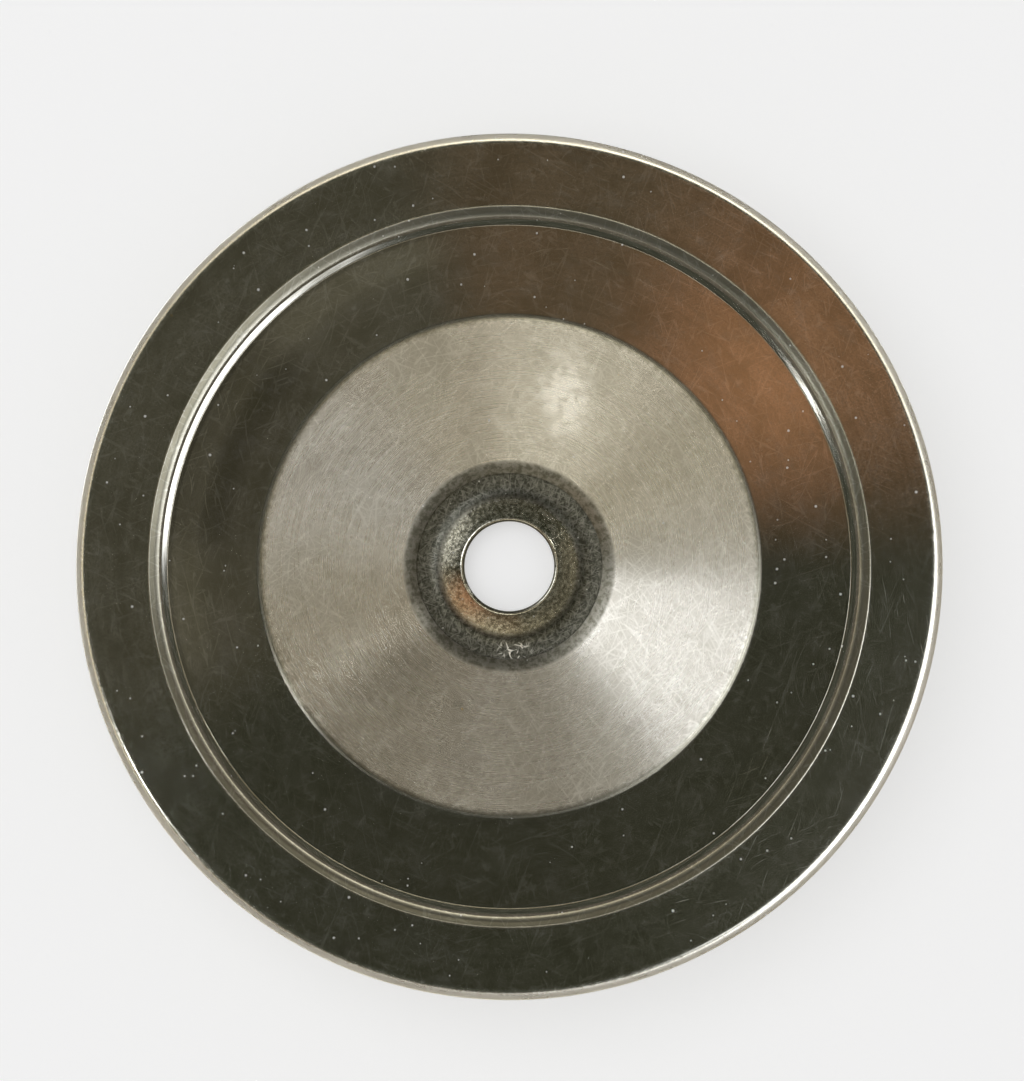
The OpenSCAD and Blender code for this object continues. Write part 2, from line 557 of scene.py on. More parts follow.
@dataclass(frozen=True)
class GlossFinish:
    """Dark glossy nickel plate with fine streaks round the axis, clouds of tarnish and dust.

    The lip at the rim is rubbed rougher and painted pale, partly a painted sheen, and a groove is
    painted darker, a painted shade, where the piece has them. Their radii are beyond the
    piece where it has none.
    """

    name: str
    lip_start: float = 1.0
    groove: tuple[float, float] = (1.0, 1.1)
    colour: Colour = (0.50, 0.49, 0.44)
    # pale colour of the lip: partly rubbed wear, partly a painted sheen for the light its flat top reflects
    worn_lip_and_sheen: Colour = (0.86, 0.85, 0.80)
    tarnish: Colour = (0.31, 0.30, 0.24)
    # colour of the painted shade in a groove
    shaded_hollow: Colour = (0.27, 0.26, 0.21)
    scratch: Colour = (0.85, 0.84, 0.78)
    fleck: Colour = (0.60, 0.48, 0.25)
    rough: float = 0.12
    uneven: float = 0.10

    def build(self) -> bpy.types.Material:
        """Makes the material.

        Returns:
            The material.
        """
        g = SurfaceGraph(self.name)
        low, high = self.groove
        edge = g.weigh((g.radius, 1.0), (g.noise(700.0, 3.0, 0.7), 1.2 * MM), start=-0.6 * MM)
        # painted sheen: the lip is painted pale, and rubbed rougher
        lip = g.step(edge, self.lip_start - 0.9 * MM, self.lip_start + 0.5 * MM)
        # painted shade: darker in the groove, which is also rougher and less metallic
        shaded_hollow = g.times(g.step(g.radius, low - 0.4 * MM, low + 0.2 * MM),
                       g.step(g.radius, high + 0.3 * MM, high - 0.1 * MM))
        drawn = g.turned_lines(per_metre=1300.0, turns=1.6)
        streak = g.turned_lines(per_metre=380.0, turns=1.1)
        cloud = g.noise(110.0, 4.0, 0.66)
        grain = g.noise(3000.0, 2.0, 0.7)
        mist = g.step(g.noise(1500.0, 3.0, 0.75), 0.50, 0.72)
        grime = g.step(g.noise(260.0, 4.0, 0.7), 0.50, 0.66)
        marks = g.scuffs(20.0, 68.0, 104.0, 151.0, length=12 * MM, spacing=1.6 * MM, width=0.06)
        specks = g.dots(cell=2.2 * MM, size=0.24 * MM, share=0.5, seed=0.9)
        flecks = g.dots(cell=8 * MM, size=0.28 * MM, share=0.2, seed=3.1)
        tone = g.layers(
            self.colour,
            (self.tarnish, g.step(cloud, 0.42, 0.68), 0.7),
            (self.tarnish, g.step(streak, 0.42, 0.7), 0.35),
            (self.tarnish, g.step(drawn, 0.42, 0.7), 0.28),
            (self.tarnish, g.step(grain, 0.42, 0.66), 0.55),
            (self.shaded_hollow, shaded_hollow, g.spread(streak, 0.65, 0.95)),
            (self.worn_lip_and_sheen, lip, 1.0),
            (self.scratch, marks, 0.15),
            (self.fleck, flecks, 0.5),
            (DUST, specks, 0.9),
        )
        rough = g.weigh((drawn, self.uneven), (cloud, self.uneven), (lip, 0.16), (shaded_hollow, 0.2),
                        start=self.rough - self.uneven, clamp=True)
        height = g.weigh((drawn, 1.0), (cloud, 0.5), (marks, -1.0))
        matt = g.weigh((specks, 0.8), (marks, 0.05), (mist, 0.07), (grime, 0.065), (shaded_hollow, 0.22))
        return g.finish(tone, rough, height, depth=0.006 * MM, strength=0.5, matt=matt)


@dataclass(frozen=True)
class CollarFinish:
    """Dark, grainy and pitted metal of the collar, with painted shade in the moat round its hub, at the
    bottom of the hole and on the hole's edge.
    """

    hub_r: float
    colour: Colour = (0.72, 0.70, 0.62)
    dark: Colour = (0.34, 0.33, 0.27)
    pale: Colour = (0.80, 0.78, 0.70)
    pit: Colour = (0.07, 0.07, 0.05)
    # colours of the painted shade in the moat and at the bottom of the hole
    shaded_hollow: Colour = (0.026, 0.027, 0.02)
    shaded_hollow_grain: Colour = (0.085, 0.086, 0.066)
    # colour of the painted shade on the hub's rounding into the hole
    hole_edge_shade: Colour = (0.16, 0.155, 0.125)
    speck: Colour = (0.80, 0.79, 0.72)
    scratch: Colour = (0.95, 0.93, 0.86)
    rough: float = 0.18
    uneven: float = 0.15

    def build(self) -> bpy.types.Material:
        """Makes the material.

        Returns:
            The material.
        """
        g = SurfaceGraph("pitted_collar_metal")
        grain = g.noise(1500.0, 3.0, 0.75)
        mottle = g.noise(420.0, 3.0, 0.6)
        pits = g.dots(cell=0.9 * MM, size=0.22 * MM, share=0.45, seed=1.7)
        specks = g.dots(cell=1.6 * MM, size=0.16 * MM, share=0.36, seed=2.3)
        rub = g.scuffs(25.0, 70.0, 100.0, 160.0, length=4 * MM, spacing=0.9 * MM, width=0.14)
        strokes = g.scuffs(15.0, 75.0, 140.0, length=3 * MM, spacing=1.5 * MM, width=0.1)
        above = g.step(g.height, 0.2 * MM, 0.5 * MM)
        rubbed = g.patch(x=0.8 * MM, y=-14.8 * MM, wide=3.4 * MM, high=2.2 * MM)
        scribble = g.times(g.times(rubbed, above), strokes)
        # painted shade: darker in the moat round the hub and at the bottom of the hole, which are also
        # rougher
        moat = g.times(g.step(g.radius, self.hub_r + 0.9 * MM, self.hub_r + 2.9 * MM), 0.94)
        shaded_hollow = g.math("MAXIMUM", moat, g.math("SUBTRACT", 0.7, above, clamp=True))
        tone = g.layers(
            self.dark,
            (self.colour, g.step(grain, 0.38, 0.64), 1.0),
            (self.pale, g.step(mottle, 0.5, 0.7), 0.5),
            (self.pit, pits, 0.6),
            (g.layers(self.shaded_hollow, (self.shaded_hollow_grain, g.step(grain, 0.4, 0.62), 1.0)), shaded_hollow, 1.0),
            # painted shade: darker where the hub rounds down into the hole
            (self.hole_edge_shade, g.step(g.radius, self.hub_r - 1.6 * MM, self.hub_r - 2.3 * MM), 1.0),
            (self.pale, rub, 0.12),
            (self.speck, specks, 0.6),
            (self.scratch, scribble, 1.0),
        )
        rough = g.weigh((grain, 2 * self.uneven), (shaded_hollow, 0.3), start=self.rough - self.uneven, clamp=True)
        height = g.weigh((grain, 1.0), (mottle, 1.0), (pits, -1.0))
        matt = g.weigh((specks, 0.5), (scribble, 0.3), (g.step(grain, 0.5, 0.7), 0.16), (shaded_hollow, 0.1))
        return g.finish(tone, rough, height, depth=0.018 * MM, strength=0.7, matt=matt)


@dataclass(frozen=True)
class SeamFinish:
    """Wiped solder of the seam, nearly as smooth as the plate."""

    colour: Colour = (0.72, 0.71, 0.67)
    dark: Colour = (0.50, 0.49, 0.44)
    rough: float = 0.13
    uneven: float = 0.05

    def build(self) -> bpy.types.Material:
        """Makes the material.

        Returns:
            The material.
        """
        g = SurfaceGraph("wiped_solder")
        lumps = g.turned_lines(per_metre=2200.0, turns=9.0)
        tone = g.layers(self.dark, (self.colour, g.step(lumps, 0.35, 0.65), 1.0))
        rough = g.weigh((lumps, 2 * self.uneven), start=self.rough - self.uneven, clamp=True)
        return g.finish(tone, rough, lumps, depth=0.01 * MM, strength=0.5)


@dataclass(frozen=True)
class SolderFinish:
    """Dull tin solder, darkened by age."""

    colour: Colour = (0.30, 0.29, 0.26)
    dark: Colour = (0.16, 0.15, 0.13)
    rough: float = 0.45
    uneven: float = 0.1

    def build(self) -> bpy.types.Material:
        """Makes the material.

        Returns:
            The material.
        """
        g = SurfaceGraph("aged_solder")
        lumps = g.noise(900.0, 3.0, 0.6)
        tone = g.layers(self.dark, (self.colour, g.step(lumps, 0.35, 0.65), 1.0))
        rough = g.weigh((lumps, 2 * self.uneven), start=self.rough - self.uneven, clamp=True)
        return g.finish(tone, rough, lumps, depth=0.04 * MM, strength=0.8)


# ---- turned pieces ----


class TurnSocket(Enum):
    """Named inputs of the tree that revolves a cross-section."""

    SEGMENTS = ("Segments", "NodeSocketInt")
    WAVINESS = ("Waviness", "NodeSocketFloat")
    WAVE_SCALE = ("Wave scale", "NodeSocketFloat")
    RIM_RADIUS = ("Rim radius", "NodeSocketFloat")
    SHARP_ANGLE = ("Sharp angle", "NodeSocketFloat")
    MATERIAL = ("Material", "NodeSocketMaterial")
    OUTER_RADIUS = ("Outer radius", "NodeSocketFloat")
    OUTER_MATERIAL = ("Outer material", "NodeSocketMaterial")


class Lathe:
    """Geometry Nodes tree that turns a closed cross-section round the Z axis."""

    SEED = 3.7
    WELD = 0.002 * MM
    FADE = 3 * MM
    SHARP_ANGLE = deg(35)

    def __init__(self) -> None:
        """Makes the tree, its named inputs and the steps from a section to a finished mesh."""
        self.tree = bpy.data.node_groups.new("revolve_section", "GeometryNodeTree")
        face = self.tree.interface
        face.new_socket("Geometry", in_out="INPUT", socket_type="NodeSocketGeometry")
        self.keys = {
            kind: face.new_socket(kind.value[0], in_out="INPUT", socket_type=kind.value[1]).identifier
            for kind in TurnSocket
        }
        face.new_socket("Geometry", in_out="OUTPUT", socket_type="NodeSocketGeometry")
        self.graph = Graph(self.tree)
        outputs = self.graph.add("NodeGroupInput").outputs
        self.given = {kind: outputs[kind.value[0]] for kind in TurnSocket}
        mesh = self._dressed(self._waved(self._turned(outputs["Geometry"])))
        self.graph.put(mesh, self.graph.add("NodeGroupOutput").inputs[0])

    def _turned(self, section: Socket) -> Socket:
        """Wraps a grid of section points by segments round the axis, and welds it.

        Args:
            section: points of the cross-section.

        Returns:
            The turned mesh.
        """
        g = self.graph
        segments = self.given[TurnSocket.SEGMENTS]
        count = g.feed("GeometryNodeAttributeDomainSize", section, out="Point Count")
        around = g.math("ADD", segments, 1.0)
        grid = g.feed("GeometryNodeMeshGrid", 1.0, 1.0, g.math("ADD", count, 1.0), around, out="Mesh")
        index = g.feed("GeometryNodeInputIndex")
        row = g.math("FLOOR", g.math("DIVIDE", g.math("ADD", index, 0.5), around))
        column = g.math("SUBTRACT", index, g.times(row, around))
        pick = g.add("GeometryNodeSampleIndex", data_type="FLOAT_VECTOR", domain="POINT")
        g.fill(pick, {"Geometry": section, "Value": g.feed("GeometryNodeInputPosition"),
                      "Index": g.math("MODULO", row, count)})
        radius = g.feed("ShaderNodeSeparateXYZ", pick.outputs["Value"], out="X")
        height = g.feed("ShaderNodeSeparateXYZ", pick.outputs["Value"], out="Z")
        angle = g.times(g.math("DIVIDE", column, segments), math.tau)
        x = g.times(radius, g.math("COSINE", angle))
        y = g.times(radius, g.math("SINE", angle))
        wrapped = g.feed("GeometryNodeSetPosition", grid, True, g.join(x, y, height))
        return g.feed("GeometryNodeMergeByDistance", wrapped, True, self.WELD)

    def _waved(self, mesh: Socket) -> Socket:
        """Adds the slight unevenness of hand-spun metal, which fades out at the rim's edge.

        Args:
            mesh: the turned mesh.

        Returns:
            The mesh with its waves.
        """
        g = self.graph
        place = g.feed("GeometryNodeInputPosition")
        scale = self.given[TurnSocket.WAVE_SCALE]
        noise = g.add("ShaderNodeTexNoise", {"Vector": place, "W": self.SEED, "Scale": scale, "Detail": 1.0},
                      noise_dimensions="4D")
        left = g.math("SUBTRACT", self.given[TurnSocket.RIM_RADIUS], g.length(g.level(place)))
        fade = g.math("DIVIDE", left, self.FADE, clamp=True)
        height = g.times(g.math("SUBTRACT", noise.outputs["Fac"], 0.5), fade)
        offset = g.join(0.0, 0.0, g.times(height, self.given[TurnSocket.WAVINESS]))
        return g.add("GeometryNodeSetPosition", {"Geometry": mesh, "Offset": offset}).outputs[0]

    def _dressed(self, mesh: Socket) -> Socket:
        """Smooth shading with sharp cut edges, then Realize Instances and Set Material.

        Args:
            mesh: the mesh in its final shape.

        Returns:
            The finished mesh.
        """
        g = self.graph
        given = self.given
        fold = g.feed("GeometryNodeInputMeshEdgeAngle", out="Unsigned Angle")
        gentle = g.feed("FunctionNodeCompare", fold, given[TurnSocket.SHARP_ANGLE],
                        data_type="FLOAT", operation="LESS_THAN")
        smooth = g.feed("GeometryNodeSetShadeSmooth", mesh, domain="FACE")
        crisp = g.feed("GeometryNodeSetShadeSmooth", smooth, True, gentle, domain="EDGE")
        real = g.feed("GeometryNodeRealizeInstances", crisp)
        dressed = g.feed("GeometryNodeSetMaterial", real, True, given[TurnSocket.MATERIAL])
        radius = g.length(g.level(g.feed("GeometryNodeInputPosition")))
        outside = g.feed("FunctionNodeCompare", radius, given[TurnSocket.OUTER_RADIUS],
                         data_type="FLOAT", operation="GREATER_THAN")
        return g.feed("GeometryNodeSetMaterial", dressed, outside, given[TurnSocket.OUTER_MATERIAL])

    def turn(self, name: str, section: Loop, material: bpy.types.Material, rim_radius: float,
             segments: int = 360, waviness: float = 0.0, wave_scale: float = 30.0,
             outer: tuple[float, bpy.types.Material] | None = None) -> bpy.types.Object:
        """Turns a cross-section into a plain mesh object.

        Args:
            name: the object's name.
            section: closed cross-section, as (radius, height) points.
            material: its finish.
            rim_radius: radius at which the waviness has faded out.
            segments: how many segments a turn has.
            waviness: how far the surface may wander up and down, in metres.
            wave_scale: how many waves a metre holds.
            outer: radius from which another finish begins, and that finish.

        Returns:
            The object, linked to the scene, at the origin.
        """
        line = bpy.data.meshes.new(name + "_section")
        line.from_pydata([(r, 0.0, z) for r, z in section], [], [])
        maker = bpy.data.objects.new(name + "_maker", line)
        bpy.context.scene.collection.objects.link(maker)
        modifier = maker.modifiers.new("revolve", "NODES")
        modifier.node_group = self.tree
        outer_radius, outer_material = outer or (rim_radius, material)
        values = {
            TurnSocket.SEGMENTS: segments,
            TurnSocket.WAVINESS: waviness,
            TurnSocket.WAVE_SCALE: wave_scale,
            TurnSocket.RIM_RADIUS: rim_radius,
            TurnSocket.SHARP_ANGLE: self.SHARP_ANGLE,
            TurnSocket.MATERIAL: material,
            TurnSocket.OUTER_RADIUS: outer_radius,
            TurnSocket.OUTER_MATERIAL: outer_material,
        }
        for kind, value in values.items():
            modifier[self.keys[kind]] = value
        graph = bpy.context.evaluated_depsgraph_get()
        mesh = bpy.data.meshes.new_from_object(maker.evaluated_get(graph))
        mesh.name = name
        bpy.data.objects.remove(maker)
        bpy.data.meshes.remove(line)
        piece = bpy.data.objects.new(name, mesh)
        bpy.context.scene.collection.objects.link(piece)
        return piece


# ---- sub-assemblies ----


def report(piece: bpy.types.Object, slot: str, *nodes: str) -> None:
    """Ties a finished piece to the frame and logs it.

    Args:
        piece: the finished object.
        slot: the record's material slot; not used.
        nodes: the CAD nodes that it stands for.
    """
    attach(piece, BODY)
    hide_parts(*nodes)
    LOG.info("%s: %d faces, stands for %s", piece.name, len(piece.data.polygons), ", ".join(nodes))


@dataclass
class Pan:
    """Spun pan: shallow conical floor with a turned-down opening, and the wall."""

    sheet: float = 0.7 * MM
    opening_r: float = 18.5 * MM
    turned_edge_r: float = 16.4 * MM
    floor_z: float = 3.2 * MM
    turn_round: float = 2.0 * MM
    turn_slope: float = deg(45)
    floor_r: float = 44.0 * MM
    floor_slope: float = deg(7)
    corner_round: float = 3.5 * MM
    wall_foot_slope: float = deg(36)
    wall_top_slope: float = deg(41)
    wall_round: float = 80 * MM
    edge_r: float = 59.45 * MM
    edge_round: float = 0.13 * MM
    # width of the painted shade on the wall at its corner with the floor
    shaded_hollow_w: float = 0.3 * MM
    waviness: float = 0.06 * MM

    @property
    def turn_centre(self) -> Point:
        """Centre of the bend between the floor and its turned-down edge."""
        return Spot(self.opening_r, self.floor_z, self.floor_slope).shifted(0, -self.turn_round)

    def outline(self) -> SheetOutline:
        """Upper surface of the pan, from the turned-down edge to its top edge.

        Returns:
            The sheet's outline.
        """
        line = SheetOutline()
        r, z = Spot(*self.turn_centre, self.turn_slope).shifted(0, self.turn_round)
        drop = (r - self.turned_edge_r) * math.tan(self.turn_slope)
        line.start(self.turned_edge_r, z - drop, self.turn_slope)
        line.run_to(r)
        line.turn(self.turn_round, self.floor_slope)
        line.turn_at(self.floor_r, self.corner_round, self.wall_foot_slope)
        line.turn_at((self.floor_r + self.edge_r) / 2, self.wall_round, self.wall_top_slope)
        line.run_to(self.edge_r)
        return line

    def build(self, lathe: Lathe) -> None:
        """Turns and dresses the pan.

        Args:
            lathe: what turns a section.
        """
        section = self.outline().section(self.sheet, self.edge_round)
        wall = GlossFinish("glossy_wall_plate", groove=(self.floor_r, self.floor_r + self.shaded_hollow_w),
                           colour=(0.46, 0.445, 0.40)).build()
        floor = FloorFinish(opening=self.opening_r, edge=self.floor_r).build()
        piece = lathe.turn("spun_pan", section, floor, self.edge_r, waviness=self.waviness,
                           wave_scale=28.0, outer=(self.floor_r, wall))
        report(piece, "polished_plate", "pan")


@dataclass
class Flange:
    """Flange ring: skirt under the pan's wall, bead, valley, band and turned-out lip."""

    pan: Pan
    rim_r: float = 75.0 * MM
    lip_w: float = 1.3 * MM
    lip_slope: float = deg(5)
    lip_round: float = 2.0 * MM
    band_slope: float = deg(34)
    valley_r: float = 62.8 * MM
    valley_round: float = 0.35 * MM
    bead_w: float = 2.1 * MM
    bead_slope: float = deg(38)
    bead_round: float = 2.0 * MM
    lap: float = 4.0 * MM
    gap: float = 0.03 * MM
    edge_round: float = 0.12 * MM
    solder_root: float = deg(25)
    solder_end: float = deg(8)
    solder_drop: float = 0.25 * MM
    level: float = deg(1)
    # width of the painted shade in the hollow inside the valley
    shaded_hollow_w: float = 1.7 * MM
    waviness: float = 0.07 * MM

    @property
    def lap_top(self) -> Spot:
        """Place on the skirt's line right under the pan's cut edge."""
        edge = self.pan.outline().spots[-1]
        return Spot(*edge.shifted(0, -self.pan.sheet - self.gap), edge.slope)

    def outline(self) -> SheetOutline:
        """Upper surface of the flange ring, from the skirt's lower end to the rim.

        Returns:
            The sheet's outline.
        """
        line = SheetOutline(run_step=0.8 * MM)
        line.start(*self.lap_top.shifted(-self.lap, 0), self.lap_top.slope)
        line.turn_at(self.valley_r - self.bead_w, self.bead_round, -self.bead_slope)
        line.turn_at(self.valley_r, self.valley_round, self.band_slope)
        line.turn_at(self.rim_r - self.lip_w, self.lip_round, self.lip_slope)
        line.run_to(self.rim_r - self.pan.sheet * math.sin(self.lip_slope))
        return line

    def solder_section(self) -> Loop:
        """Closed cross-section of the solder between the pan's cut edge and the bead.

        Returns:
            (radius, height) points.
        """
        edge = self.pan.outline().spots[-1]
        top = edge.shifted(self.gap, -self.solder_drop)
        root = self.lap_top.shifted(self.gap / 2, self.gap / 2)
        crest = next(s for s in self.outline().spots if s.r > self.lap_top.r and s.slope < self.level)
        bed = bend(crest.shifted(0, -self.bead_round), self.bead_round + self.gap / 2,
                   self.solder_root, self.solder_end, steps=6)
        return [top, *between(top, bed[-1], 5), *bed[::-1], root]

    def build(self, lathe: Lathe) -> None:
        """Turns and dresses the flange ring and the solder in its seam.

        Args:
            lathe: what turns a section.
        """
        section = self.outline().section(self.pan.sheet, self.edge_round)
        finish = GlossFinish("tarnished_nickel_plate", lip_start=self.rim_r - self.lip_w,
                             groove=(self.valley_r - self.shaded_hollow_w, self.valley_r), rough=0.125).build()
        piece = lathe.turn("flange_with_lip", section, finish, self.rim_r, waviness=self.waviness,
                           wave_scale=24.0)
        report(piece, "dark_plate", "flange_ring")
        solder = lathe.turn("wiped_seam_solder", self.solder_section(), SeamFinish().build(), self.rim_r)
        report(solder, "solder", "seam_solder")


@dataclass
class Collar:
    """Turned collar: flat foot, seat under the pan, moat and hub round the hole."""

    pan: Pan
    hole_r: float = 7.9 * MM
    outer_r: float = 23.0 * MM
    moat_r: float = 14.2 * MM
    moat_z: float = 0.9 * MM
    hub_slope: float = deg(34)
    hub_round: float = 0.5 * MM
    hub_foot_round: float = 3.0 * MM
    foot_chamfer: float = 0.6 * MM
    seat_toe: float = 0.1 * MM
    gap: float = 0.03 * MM
    fillet_w: float = 0.8 * MM
    fillet_h: float = 0.5 * MM
    fillet_hollow: float = 0.12 * MM
    hub_w: float = 2.4 * MM
    burr: float = 0.15 * MM
    moat_steps: int = 16
    bore_levels: tuple[float, ...] = (0.75, 0.5, 0.25, 0.05)

    def seat(self) -> Loop:
        """Seat of the pan, from the collar's outer edge inwards and down its turned edge.

        Returns:
            (radius, height) points.
        """
        pan = self.pan
        radius = pan.turn_round - pan.sheet - self.gap
        shoulder = bend(pan.turn_centre, radius, pan.floor_slope, pan.turn_slope, steps=10)
        top_r, top_z = shoulder[0]
        low_r, low_z = shoulder[-1]
        end_r = pan.turned_edge_r + pan.sheet * math.sin(pan.turn_slope) - self.seat_toe
        top = (self.outer_r, top_z + (self.outer_r - top_r) * math.tan(pan.floor_slope))
        end = (end_r, low_z + (end_r - low_r) * math.tan(pan.turn_slope))
        return [top, *shoulder, end]

    def hub(self) -> Loop:
        """Moat's lowest ring, hub and its rounding into the hole, going inwards.

        Returns:
            (radius, height) points.
        """
        centre = (self.moat_r, self.moat_z + self.hub_foot_round)
        foot = bend(centre, -self.hub_foot_round, 0.0, -self.hub_slope, steps=8)
        r, z = foot[-1]
        end_r = self.hole_r + self.hub_round * (1 + math.sin(self.hub_slope))
        end = Spot(end_r, z + (r - end_r) * math.tan(self.hub_slope), -self.hub_slope)
        edge = bend(end.shifted(0, -self.hub_round), self.hub_round, -self.hub_slope, deg(90), steps=10)
        return foot + between(foot[-1], (end.r, end.z), 4) + edge

    def section(self) -> Loop:
        """Closed cross-section of the collar, with the metal on the right.

        Returns:
            (radius, height) points.
        """
        seat, hub = self.seat(), self.hub()
        start_z = seat[-1][1]
        moat = [(r, half_wave(start_z, self.moat_z, i / self.moat_steps))
                for i, (r, _) in enumerate(between(seat[-1], (self.moat_r, 0.0), self.moat_steps), 1)]
        bore = [(self.hole_r, hub[-1][1] * f) for f in self.bore_levels]
        foot = [(self.hole_r + self.burr, 0.0), (self.outer_r - self.foot_chamfer, 0.0),
                (self.outer_r, self.foot_chamfer)]
        return (foot + seat + moat + hub + bore)[::-1]

    def fillet_section(self) -> Loop:
        """Closed cross-section of the solder between the pan's underside and the collar.

        Returns:
            (radius, height) points.
        """
        root = (self.outer_r + self.gap, self.seat()[0][1])
        slope = self.pan.floor_slope
        out = (root[0] + self.fillet_w * math.cos(slope), root[1] + self.fillet_w * math.sin(slope))
        low = (root[0], root[1] - self.fillet_h)
        parts = 4
        face = [(r, z + self.fillet_hollow * math.sin(math.pi * i / parts))
                for i, (r, z) in enumerate(between(out, low, parts), 1)]
        return [root, out, *face, low]

    def build(self, lathe: Lathe) -> None:
        """Turns and dresses the collar and the solder that holds it.

        Args:
            lathe: what turns a section.
        """
        finish = CollarFinish(hub_r=self.hole_r + self.hub_w).build()
        piece = lathe.turn("turned_collar", self.section(), finish, self.outer_r)
        report(piece, "worn_collar", "collar")
        solder = lathe.turn("collar_solder_fillet", self.fillet_section(), SolderFinish().build(),
                            self.outer_r)
        report(solder, "solder", "collar_solder")


# ---- studio ----


@dataclass(frozen=True)
class Card:
    """A soft-edged patch of the reflection tent, in degrees.

    bearing is counted from +X towards +Y, and tilt from straight up.
    """

    bearing: float
    spread: float
    tilt_from: float
    tilt_to: float
    colour: Colour
    soft: float = 8.0

    def cover(self, bearing: float, tilt: float) -> float:
        """How much of the patch covers a direction.

        Args:
            bearing: the direction's bearing.
            tilt: its tilt.

        Returns:
            A share from 0 to 1.
        """
        off = abs((bearing - self.bearing + 180.0) % 360.0 - 180.0) - self.spread / 2
        near = self._edge(-off)
        return near * self._edge(tilt - self.tilt_from) * self._edge(self.tilt_to - tilt)

    def _edge(self, inside: float) -> float:
        """Smooth step across the soft edge."""
        f = min(1.0, max(0.0, inside / self.soft + 0.5))
        return f * f * (3.0 - 2.0 * f)


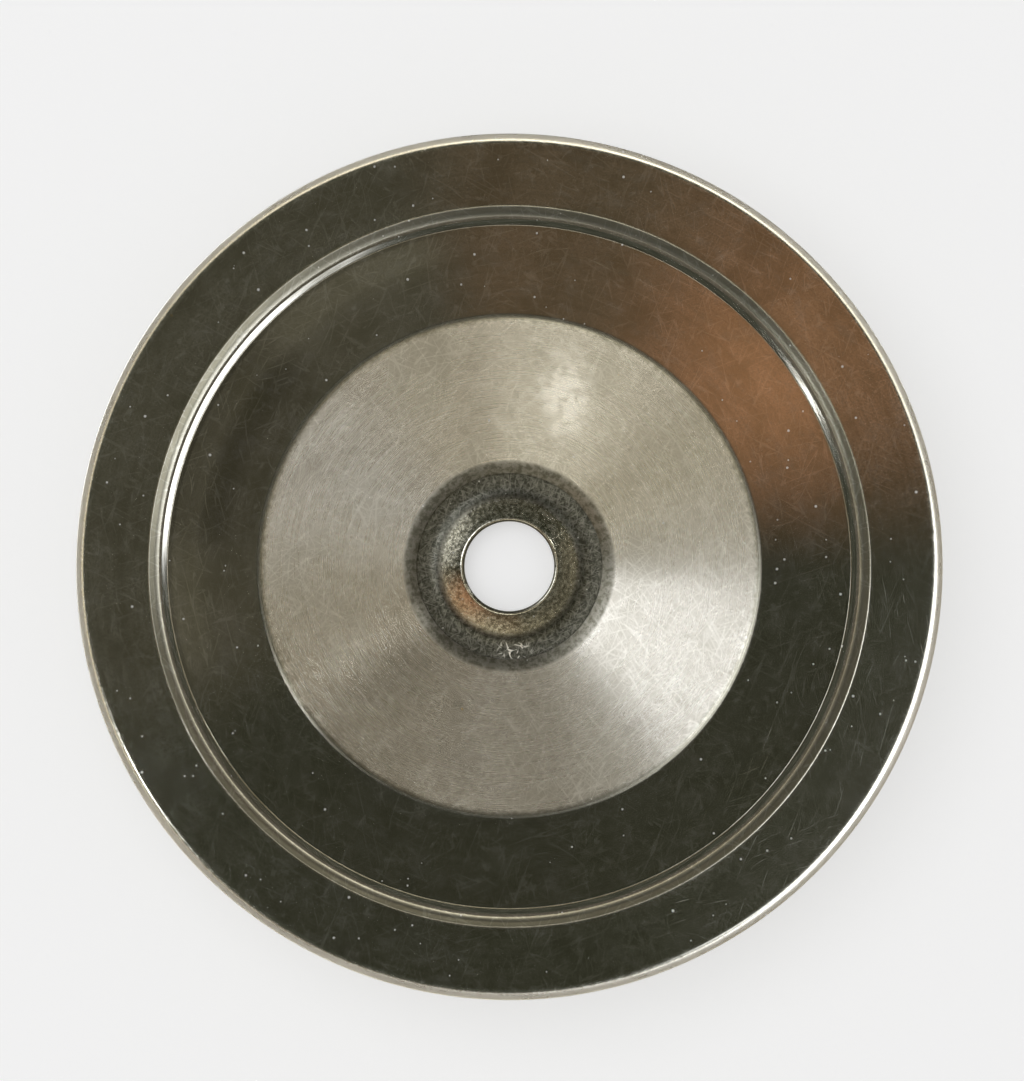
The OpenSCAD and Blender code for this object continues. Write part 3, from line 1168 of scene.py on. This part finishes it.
@dataclass
class Studio:
    """Pale floor, soft light and a tent that only the metal's reflections see."""

    tent_radius: float = 3.0
    floor_colour: Colour = (0.86, 0.86, 0.86)
    floor_rough: float = 0.9
    floor_shine: float = 0.1
    floor_glow: float = 0.55
    floor_sides: int = 96
    sky: Colour = (0.86, 0.86, 0.86)
    sky_strength: float = 0.42
    lamp_place: tuple[float, float, float] = (-0.5, 0.3, 1.8)
    lamp_size: float = 1.6
    lamp_energy: float = 5.0
    tent_end: float = 94.0
    tent_rings: int = 96
    tent_sides: int = 240
    dark: Colour = (0.072, 0.074, 0.055)
    cards: tuple[Card, ...] = (
        # overhead, then a ring of patches that the buffed floor spreads into fans
        Card(0.0, 400.0, -20.0, 20.0, (0.19, 0.17, 0.14), 10.0),
        Card(332.0, 126.0, 20.0, 31.0, (1.35, 1.19, 0.89), 9.0),
        Card(288.0, 32.0, 20.0, 31.0, (1.85, 1.66, 1.28), 12.0),
        Card(330.0, 26.0, 20.0, 31.0, (0.76, 0.68, 0.51), 9.0),
        Card(250.0, 46.0, 20.0, 31.0, (4.1, 3.85, 3.2), 9.0),
        Card(213.0, 30.0, 20.0, 31.0, (2.2, 2.03, 1.55), 9.0),
        Card(190.0, 24.0, 20.0, 31.0, (2.5, 2.38, 2.05), 9.0),
        Card(57.0, 36.0, 20.0, 31.0, (0.483, 0.414, 0.31), 9.0),
        Card(92.0, 40.0, 20.0, 31.0, (0.79, 0.73, 0.65), 9.0),
        Card(120.0, 20.0, 20.0, 31.0, (1.58, 1.53, 1.4), 9.0),
        # bright sources that the seam and the bead catch
        Card(154.0, 46.0, 20.0, 44.0, (5.4, 5.45, 5.6), 6.0),
        Card(146.0, 62.0, 44.0, 55.0, (2.0, 2.0, 1.95), 6.0),
        Card(30.0, 6.0, 46.0, 52.0, (24.0, 24.0, 23.5), 2.0),
        # low surroundings that the band and the wall mirror, copper on one side
        Card(330.0, 104.0, 60.0, 96.0, (0.15, 0.14, 0.105), 26.0),
        Card(330.0, 96.0, 80.0, 96.0, (0.32, 0.30, 0.225), 12.0),
        Card(336.0, 40.0, 70.0, 79.0, (0.075, 0.07, 0.05), 9.0),
        Card(258.0, 44.0, 60.0, 96.0, (0.21, 0.15, 0.095), 20.0),
        Card(217.0, 40.0, 60.0, 96.0, (0.64, 0.335, 0.18), 36.0),
    )

    def build(self) -> None:
        """Builds the floor, the tent, the lights and the view settings."""
        self._floor()
        self._tent()
        self._lights()
        world = bpy.data.worlds.new("studio_air")
        world.use_nodes = True
        air = world.node_tree.nodes["Background"]
        air.inputs["Color"].default_value = (*self.sky, 1.0)
        air.inputs["Strength"].default_value = self.sky_strength
        bpy.context.scene.world = world
        bpy.context.scene.view_settings.view_transform = "Standard"

    def _floor(self) -> None:
        """Plain pale floor, a large disc at the level of the foot."""
        angles = [math.tau * i / self.floor_sides for i in range(self.floor_sides)]
        points = [(self.tent_radius * math.cos(a), self.tent_radius * math.sin(a), 0.0) for a in angles]
        mesh = bpy.data.meshes.new("floor")
        mesh.from_pydata(points, [], [list(range(len(points)))])
        paint = bpy.data.materials.new("pale_floor")
        paint.use_nodes = True
        colour = (*self.floor_colour, 1.0)
        Graph(paint.node_tree).fill(paint.node_tree.nodes["Principled BSDF"], {
            "Base Color": colour,
            "Roughness": self.floor_rough,
            "Specular IOR Level": self.floor_shine,
            "Emission Color": colour,
            "Emission Strength": self.floor_glow,
        })
        mesh.materials.append(paint)
        floor = bpy.data.objects.new("floor", mesh)
        bpy.context.scene.collection.objects.link(floor)

    def _light_from(self, bearing: float, tilt: float) -> Colour:
        """Colour of the tent in one direction.

        Args:
            bearing: the direction's bearing, in degrees.
            tilt: its tilt, in degrees.

        Returns:
            The colour.
        """
        colour = Vector(self.dark)
        for card in self.cards:
            colour = colour.lerp(Vector(card.colour), card.cover(bearing, tilt))
        return tuple(colour)

    def _tent(self) -> None:
        """Half dome of glowing cards. Only glossy rays see it."""
        rings, sides = self.tent_rings, self.tent_sides
        points, glow, faces = [], [], []
        for i in range(rings + 1):
            tilt = self.tent_end * i / rings
            for j in range(sides):
                bearing = 360.0 * j / sides
                flat = self.tent_radius * math.sin(deg(tilt))
                points.append((flat * math.cos(deg(bearing)), flat * math.sin(deg(bearing)),
                               self.tent_radius * math.cos(deg(tilt))))
                glow.append((*self._light_from(bearing, tilt), 1.0))
        for i in range(rings):
            for j in range(sides):
                k = (j + 1) % sides
                faces.append((i * sides + j, (i + 1) * sides + j, (i + 1) * sides + k, i * sides + k))
        mesh = bpy.data.meshes.new("reflection_tent")
        mesh.from_pydata(points, [], faces)
        layer = mesh.color_attributes.new("glow", "FLOAT_COLOR", "POINT")
        for item, colour in zip(layer.data, glow):
            item.color = colour
        cloth = bpy.data.materials.new("tent_glow")
        cloth.use_nodes = True
        g = Graph(cloth.node_tree)
        cloth.node_tree.nodes.remove(cloth.node_tree.nodes["Principled BSDF"])
        shade = g.feed("ShaderNodeAttribute", out="Color", attribute_name="glow")
        light = g.feed("ShaderNodeEmission", shade)
        g.fill(cloth.node_tree.nodes["Material Output"], {"Surface": light})
        cloth.cycles.emission_sampling = "NONE"
        mesh.materials.append(cloth)
        tent = bpy.data.objects.new("reflection_tent", mesh)
        bpy.context.scene.collection.objects.link(tent)
        tent.visible_camera = tent.visible_diffuse = False
        tent.visible_shadow = tent.visible_transmission = False

    def _lights(self) -> None:
        """One large soft light for the floor, which the metal doesn't mirror."""
        data = bpy.data.lights.new("soft_top", "AREA")
        data.shape = "DISK"
        data.size = self.lamp_size
        data.energy = self.lamp_energy
        lamp = bpy.data.objects.new("soft_top", data)
        lamp.location = self.lamp_place
        lamp.rotation_euler = (-lamp.location).to_track_quat("-Z", "Y").to_euler()
        lamp.visible_glossy = False
        bpy.context.scene.collection.objects.link(lamp)


@dataclass
class Viewer:
    """Camera straight above the bowl, a little off its axis."""

    height: float = 1.0
    frame_long: float = 186.9 * MM
    offset: Point = (0.47 * MM, 4.56 * MM)
    sensor: float = 36.0
    reach: float = 20.0

    def build(self, rim_z: float) -> None:
        """Places the camera above the rim's plane, which it frames at the wanted width.

        Args:
            rim_z: height of the rim.
        """
        data = bpy.data.cameras.new("camera")
        data.sensor_width = self.sensor
        data.lens = self.sensor * self.height / self.frame_long
        data.clip_end = self.reach
        camera = bpy.data.objects.new("camera", data)
        camera.location = (*self.offset, rim_z + self.height)
        bpy.context.scene.collection.objects.link(camera)
        bpy.context.scene.camera = camera


def main() -> None:
    """Builds the studio, the bowl's pieces and the camera."""
    logging.basicConfig(level=logging.INFO, format="%(name)s: %(message)s")
    Studio().build()
    lathe = Lathe()
    pan = Pan()
    pan.build(lathe)
    Flange(pan).build(lathe)
    Collar(pan).build(lathe)
    Viewer().build(rim_z=CAD_BOX[1].z)


if __name__ == "__main__":
    main()
